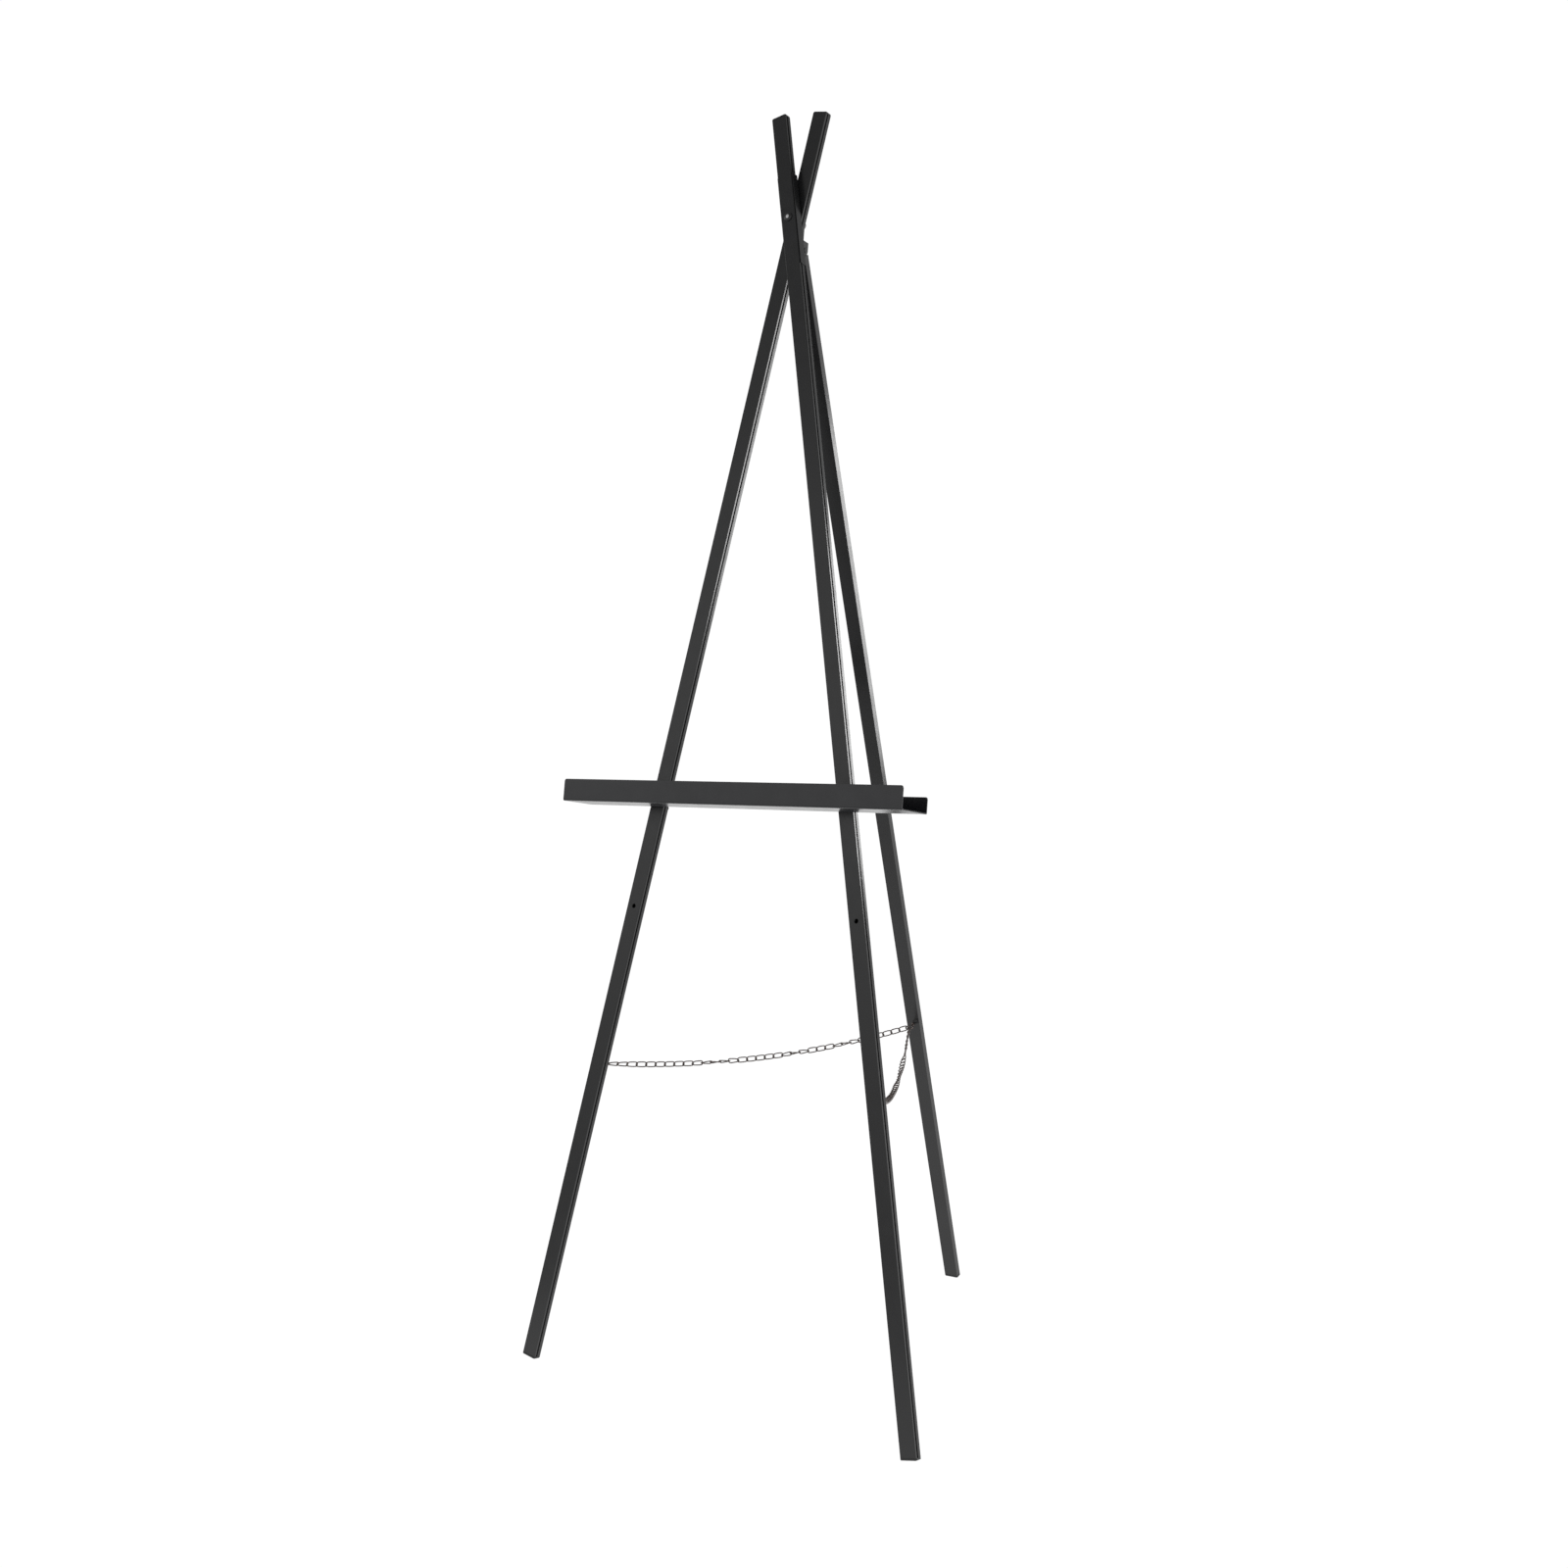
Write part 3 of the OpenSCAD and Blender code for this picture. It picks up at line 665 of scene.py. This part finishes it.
behind = Matrix.Translation((0, -BOLT_REACH, -LEG_T - SMALL_WASHER_T - FACE_GAP))
for side, matrix, degrees in (("right", right_leg, 80), ("left", left_leg, 100)):
    turned = Matrix.Rotation(math.radians(degrees), 4, "Z")
    wing_nut("wing_nut_" + side, matrix @ behind @ turned, f"wing_nut_{side}_body")

# ---- tray ----


def tray_section(back, lip):
    """Rows down the back wall, along the floor and up the lip, on the outside of the sheet.

    Each row is its height and its distance out of the front plane, then the same two parts of the
    direction through the sheet.
    """
    r, far, steps = BENT_R, TRAY_DEPTH, 6
    rows = [(back + (r - back) * k / 3, 0, 0, 1) for k in range(4)]
    bends = [math.radians(90 * k / steps) for k in range(1, steps + 1)]
    rows += [(r - r * math.sin(a), r - r * math.cos(a), math.sin(a), math.cos(a)) for a in bends]
    rows += [(0, r + (far - 2 * r) * k / 4, 1, 0) for k in range(1, 5)]
    rows += [(r - r * math.cos(a), far - r + r * math.sin(a), math.cos(a), -math.sin(a)) for a in bends]
    rows += [(r + (lip - r) * k / 3, far, 0, -1) for k in range(1, 4)]
    return rows


def tray_mesh():
    """One folded sheet as a grid of columns along x and rows round the section."""
    half, column = TRAY_LEN / 2, 35.0

    def corner_drop(x, r):
        """How much lower a rounded corner is at x than the edge that it ends."""
        d = half - abs(x)
        return 0 if d >= r else r - math.sqrt(max(0, r * r - (r - d) ** 2))

    xs = {round(column * k, 4) for k in range(7)}
    for r in (BACK_CORNER, LIP_CORNER):
        xs |= {round(half - r * (1 - math.cos(math.radians(90 * k / 8))), 4) for k in range(9)}
    xs = sorted({-x for x in xs} | xs)
    outer_grid, inner_grid = [], []
    for x in xs:
        section = tray_section(BACK_H - corner_drop(x, BACK_CORNER), LIP_H - corner_drop(x, LIP_CORNER))
        outer_grid.append([(x, h, d) for h, d, _, _ in section])
        inner_grid.append([(x, h + nh * SHEET, d + nd * SHEET) for h, d, nh, nd in section])
    cols, rows = len(xs), len(outer_grid[0])
    verts = [v for col in outer_grid for v in col] + [v for col in inner_grid for v in col]
    base = cols * rows
    faces = []
    for c in range(cols - 1):
        for r in range(rows - 1):
            a, b = c * rows + r, (c + 1) * rows + r
            faces.append((a, b, b + 1, a + 1))
            faces.append((base + a, base + a + 1, base + b + 1, base + b))
        for r in (0, rows - 1):
            a, b = c * rows + r, (c + 1) * rows + r
            faces.append((a, b, base + b, base + a))
    for c in (0, cols - 1):
        for r in range(rows - 1):
            a = c * rows + r
            faces.append((a, a + 1, base + a + 1, base + a))
    return make_mesh("tray", verts, faces)


tray = make_object("tray_body_sheet", tray_mesh())
bevel(tray, SHEET_EDGE, 50)
bake(tray)
# each slot takes its bolt from the open to the shut place, and down in between
open_x, shut_x = BOLT_REACH * math.sin(SPREAD), BOLT_REACH * math.sin(SPREAD - FOLD_EACH)
drop_all = BOLT_REACH * (math.cos(SPREAD - FOLD_EACH) - math.cos(SPREAD))
drop_half = BOLT_REACH * (math.cos(SPREAD - FOLD_EACH / 2) - math.cos(SPREAD))
slot_top, slot_low = BOLT_UP + SLOT_HALF, BOLT_UP - SLOT_HALF - (drop_half - drop_all / 2)
slot_r, slot_middle = (slot_top - slot_low) / 2, (slot_top + slot_low) / 2
slot_reach = slot_r - BOLT_R + SLOT_END
cutters = []
for side in (-1, 1):
    x0, x1 = sorted((side * open_x, side * shut_x))
    outline = []
    for x, start in ((x0 - slot_reach - TRAY_SHIFT, 90), (x1 + slot_reach - TRAY_SHIFT, -90)):
        for k in range(17):
            a = math.radians(start + 180 * k / 16)
            outline.append((x + slot_r * math.cos(a), slot_r * math.sin(a)))
    rings = [[(x, h + slot_middle, z) for x, h in outline] for z in (-2, 3)]
    cutters.append(make_object("cutter", loft("cutter", rings)))
cut(tray, cutters)
smooth(tray, angle=30)
tray_place = plane @ Matrix.Translation((TRAY_SHIFT, TRAY_RISE - PIVOT_RISE, TRAY_GAP))
finish_piece(tray, tray_place, tray_coat, "tray_body", "tray")

# ---- screw eyes ----


def screw_eye(name, matrix, body, ring_r, reach):
    """Bent wire eye: shank along +z into the leg, open ring in the plane of x and z, small collar."""
    steps, sweep_angle = 32, math.radians(338)
    path = [Vector((0, 0, EYE_DEPTH)), Vector((0, 0, 0)), Vector((0, 0, -reach + 2 * ring_r - 0.6))]
    for k in range(1, steps + 1):
        a = math.radians(90) - sweep_angle * k / steps
        path.append(Vector((0, 0, -reach)) + Vector((math.cos(a), 0, math.sin(a))) * ring_r)
    verts, faces = sweep(path, EYE_WIRE, False, 12)
    collar = lathe(name + "_collar", [(0.3, 0), (2.4, 0), (2.6, -0.25), (2.4, -0.8), (0.3, -0.8)], 24)
    base = len(verts)
    verts += [v.co.copy() for v in collar.vertices]
    faces += [tuple(base + i for i in p.vertices) for p in collar.polygons]
    o = make_object(name + "_wire", make_mesh(name, verts, faces))
    smooth(o, angle=45)
    finish_piece(o, matrix, chain_metal, body, name)


eye_back = Matrix.Translation((0, -EYE_DOWN, -LEG_T))
eye_rear = Matrix.Translation((0, 0, REAR_EYE_UP)) @ FACING_UP
screw_eye("chain_eye_right", right_leg @ eye_back, RIGHT, EYE_RING, EYE_REACH)
screw_eye("chain_eye_left", left_leg @ eye_back, LEFT, EYE_RING, EYE_REACH)
screw_eye("chain_eye_rear", rear_leg @ eye_rear, REAR, REAR_EYE_RING, REAR_EYE_REACH)

# ---- chain ----


def link_path(pitch):
    """Closed centreline of one squarish curb link, twisted out of its plane, slightly wider at its start."""
    points, squareness, taper = 28, 0.62, 0.04
    half = pitch / 2 + WIRE_R
    pts = []
    for k in range(points):
        a = 2 * math.pi * k / points
        c, s = math.cos(a), math.sin(a)
        x = math.copysign(abs(c) ** squareness, c) * half
        z = math.copysign(abs(s) ** squareness, s) * LINK_HALF_W * (1 - taper * x / half)
        pts.append(Vector((x, LINK_TWIST * math.sin(2 * a), z)))
    return pts


def roll_at(keys, i):
    """Roll of link i in degrees, eased between the keyed links."""
    for (i0, a0), (i1, a1) in zip(keys, keys[1:]):
        if i0 <= i <= i1:
            t = (i - i0) / (i1 - i0)
            return a0 + (a1 - a0) * t * t * (3 - 2 * t)
    return keys[-1][1]


def chain_run(start, end, sag, count, keys):
    """Vertex and face lists of the links of one hanging run, in metres, first to last."""
    curve = []
    for k in range(RUN_STEPS + 1):
        t = k / RUN_STEPS
        curve.append(start + (end - start) * t - Vector((0, 0, 4 * sag * t * (1 - t))))
    lengths = [0.0]
    for a, b in zip(curve, curve[1:]):
        lengths.append(lengths[-1] + (b - a).length)
    pitch = lengths[-1] / count

    def at(s):
        """The point of the run at length s."""
        s = max(0.0, min(lengths[-1], s))
        lo = 0
        while lo < RUN_STEPS - 1 and lengths[lo + 1] < s:
            lo += 1
        f = (s - lengths[lo]) / (lengths[lo + 1] - lengths[lo])
        return curve[lo].lerp(curve[lo + 1], f)

    verts, faces = sweep(link_path(pitch / MM), WIRE_R, True, 8)
    links = []
    for i in range(count):
        a, b = at(i * pitch), at((i + 1) * pitch)
        x = (b - a).normalized()
        y = Vector((0, 0, 1)).cross(x).normalized()
        roll = Matrix.Rotation(math.radians(roll_at(keys, i)), 4, "X")
        m = frame_of((a + b) / 2, x, y, x.cross(y)) @ roll
        links.append(([m @ v for v in verts], faces))
    return links


def chain_piece(name, links, body):
    verts, faces = [], []
    for vs, fs in links:
        base = len(verts)
        verts += vs
        faces += [tuple(base + i for i in f) for f in fs]
    me = bpy.data.meshes.new(name)
    me.from_pydata([tuple(v) for v in verts], [], faces)
    me.update()
    o = make_object(name + "_links", me)
    smooth(o, angle=60)
    finish_piece(o, Matrix.Identity(4), chain_metal, body, name)


def towards(a, b, d):
    """The point d metres from a towards b, level with a."""
    v = Vector((b.x - a.x, b.y - a.y, 0)).normalized()
    return a + v * d


left_eye = left_leg @ Vector((0, -EYE_DOWN, -LEG_T - EYE_REACH))
right_eye = right_leg @ Vector((0, -EYE_DOWN, -LEG_T - EYE_REACH))
rear_eye = rear_leg @ Vector((0, -REAR_EYE_REACH, REAR_EYE_UP))
front_hook = (EYE_RING - EYE_WIRE - WIRE_R) * MM
rear_hook = (REAR_EYE_RING - EYE_WIRE - WIRE_R) * MM
# rolls of the links along each run, as (link, degrees)
LEFT_ROLLS = (
    (0, 47),
    (3, 2),
    (8, 6),
    (11.5, 90),
    (14.5, 174),
    (18, 182),
    (20.3, 270),
    (22.3, 354),
    (24, 364),
    (26, 450),
    (28.5, 528),
    (33, 526),
)
RIGHT_ROLLS = ((0, 133), (5, 140), (10, 92), (14, 100), (19, 40), (24, 82), (29, -6), (34, 28))
for side, eye, sag, count, rolls in (
    ("left", left_eye, 16.5, 34, LEFT_ROLLS),
    ("right", right_eye, 27.0, 35, RIGHT_ROLLS),
):
    start, end = towards(eye, rear_eye, front_hook), towards(rear_eye, eye, rear_hook)
    links = chain_run(start, end, sag * MM, count, rolls)
    chain_piece(f"chain_{side}_front_half", links[:HALF_RUN], f"chain_{side}_front_body")
    chain_piece(f"chain_{side}_rear_half", links[HALF_RUN:], f"chain_{side}_rear_body")

# ---- floor, light, camera ----

FLOOR_HALF = 40
WHITE_SEEN = 1.02
EASED = "SMOOTHSTEP"


def camera_switch(tree, others, seen):
    """One value for the camera's own rays and another for all other light."""
    ray = tree.nodes.new("ShaderNodeLightPath")
    mix = tree.nodes.new("ShaderNodeMix")
    mix.data_type = "FLOAT"
    tree.links.new(ray.outputs["Is Camera Ray"], mix.inputs["Factor"])
    tree.links.new(others, mix.inputs[2])
    mix.inputs[3].default_value = seen
    return mix.outputs[0]


floor_corners = [(x * FLOOR_HALF, y * FLOOR_HALF, 0) for x, y in ((-1, -1), (1, -1), (1, 1), (-1, 1))]
floor = make_object("studio_floor", make_mesh("floor", floor_corners, [(0, 1, 2, 3)]))
floor_mat, nt, bsdf = new_material("studio_floor")
bsdf.inputs["Base Color"].default_value = (0.02, 0.02, 0.02, 1)
bsdf.inputs["Roughness"].default_value = 0.9
bsdf.inputs["Specular IOR Level"].default_value = 0.0
bsdf.inputs["Emission Color"].default_value = (1, 1, 1, 1)
# light from the floor: an even pool round the easel, and beyond it dim in front and bright behind
on_floor = nt.nodes.new("ShaderNodeTexCoord")
away = nt.nodes.new("ShaderNodeVectorMath")
away.operation = "LENGTH"
nt.links.new(on_floor.outputs["Object"], away.inputs[0])
near = map_range(nt, away.outputs["Value"], 1.0, 0.0, low_at=0.6, high_at=1.8, easing=EASED)
place = nt.nodes.new("ShaderNodeSeparateXYZ")
nt.links.new(on_floor.outputs["Object"], place.inputs["Vector"])
far = map_range(nt, place.outputs["Y"], 0.52, 1.05, low_at=-0.5, high_at=1.6, easing=EASED)
pool = nt.nodes.new("ShaderNodeMix")
pool.data_type = "FLOAT"
nt.links.new(near, pool.inputs["Factor"])
nt.links.new(far, pool.inputs[2])
pool.inputs[3].default_value = 0.98
nt.links.new(camera_switch(nt, pool.outputs[0], WHITE_SEEN), bsdf.inputs["Emission Strength"])
floor.data.materials.append(floor_mat)

# light from the studio: bright walls, darker at the horizon and overhead
world = bpy.data.worlds.new("studio")
bpy.context.scene.world = world
world.use_nodes = True
wt = world.node_tree
background = wt.nodes["Background"]
background.inputs["Color"].default_value = (1, 1, 1, 1)
where = wt.nodes.new("ShaderNodeTexCoord")
split = wt.nodes.new("ShaderNodeSeparateXYZ")
wt.links.new(where.outputs["Generated"], split.inputs["Vector"])
horizon = map_range(wt, split.outputs["Z"], 0.6, 1.05, low_at=0.0, high_at=0.16, easing=EASED)
ceiling = map_range(wt, split.outputs["Z"], 1.0, 0.3, low_at=0.22, high_at=0.47, easing=EASED)
studio = wt.nodes.new("ShaderNodeMath")
studio.operation = "MULTIPLY"
wt.links.new(horizon, studio.inputs[0])
wt.links.new(ceiling, studio.inputs[1])
wt.links.new(camera_switch(wt, studio.outputs["Value"], WHITE_SEEN), background.inputs["Strength"])

# a small softbox behind the crossing gives the bright edges
SOFTBOX_AT, SOFTBOX_TARGET = Vector((0.63, 0.89, 1.05)), Vector((0.05, -0.1, 1.0))
light = bpy.data.lights.new("rim_softbox", "AREA")
light.shape = "RECTANGLE"
light.size, light.size_y = 0.27, 0.64
light.energy = 4.3
softbox = bpy.data.objects.new("rim_softbox", light)
bpy.context.scene.collection.objects.link(softbox)
softbox.location = SOFTBOX_AT
softbox.rotation_mode = "QUATERNION"
softbox.rotation_quaternion = (SOFTBOX_TARGET - SOFTBOX_AT).to_track_quat("-Z", "Y")
softbox.visible_camera = False

CAM_PLACE, CAM_LENS = (1.25572, -1.98008, 0.7993), 41.40
CAM_AZIMUTH, CAM_PITCH, CAM_ROLL = math.radians(34.19), math.radians(1.833), math.radians(-0.119)
cam = bpy.data.cameras.new("camera")
cam.sensor_width = 36
cam.lens = CAM_LENS
cam.clip_start, cam.clip_end = 0.05, 100
camera = bpy.data.objects.new("camera", cam)
bpy.context.scene.collection.objects.link(camera)
bpy.context.scene.camera = camera
level = math.cos(CAM_PITCH)
look = Vector((-math.sin(CAM_AZIMUTH) * level, math.cos(CAM_AZIMUTH) * level, -math.sin(CAM_PITCH)))
camera.location = CAM_PLACE
camera.rotation_mode = "QUATERNION"
camera.rotation_quaternion = look.to_track_quat("-Z", "Y") @ Quaternion((0, 0, 1), CAM_ROLL)

bpy.context.scene.view_settings.view_transform = "Standard"
bpy.context.scene.view_settings.look = "None"
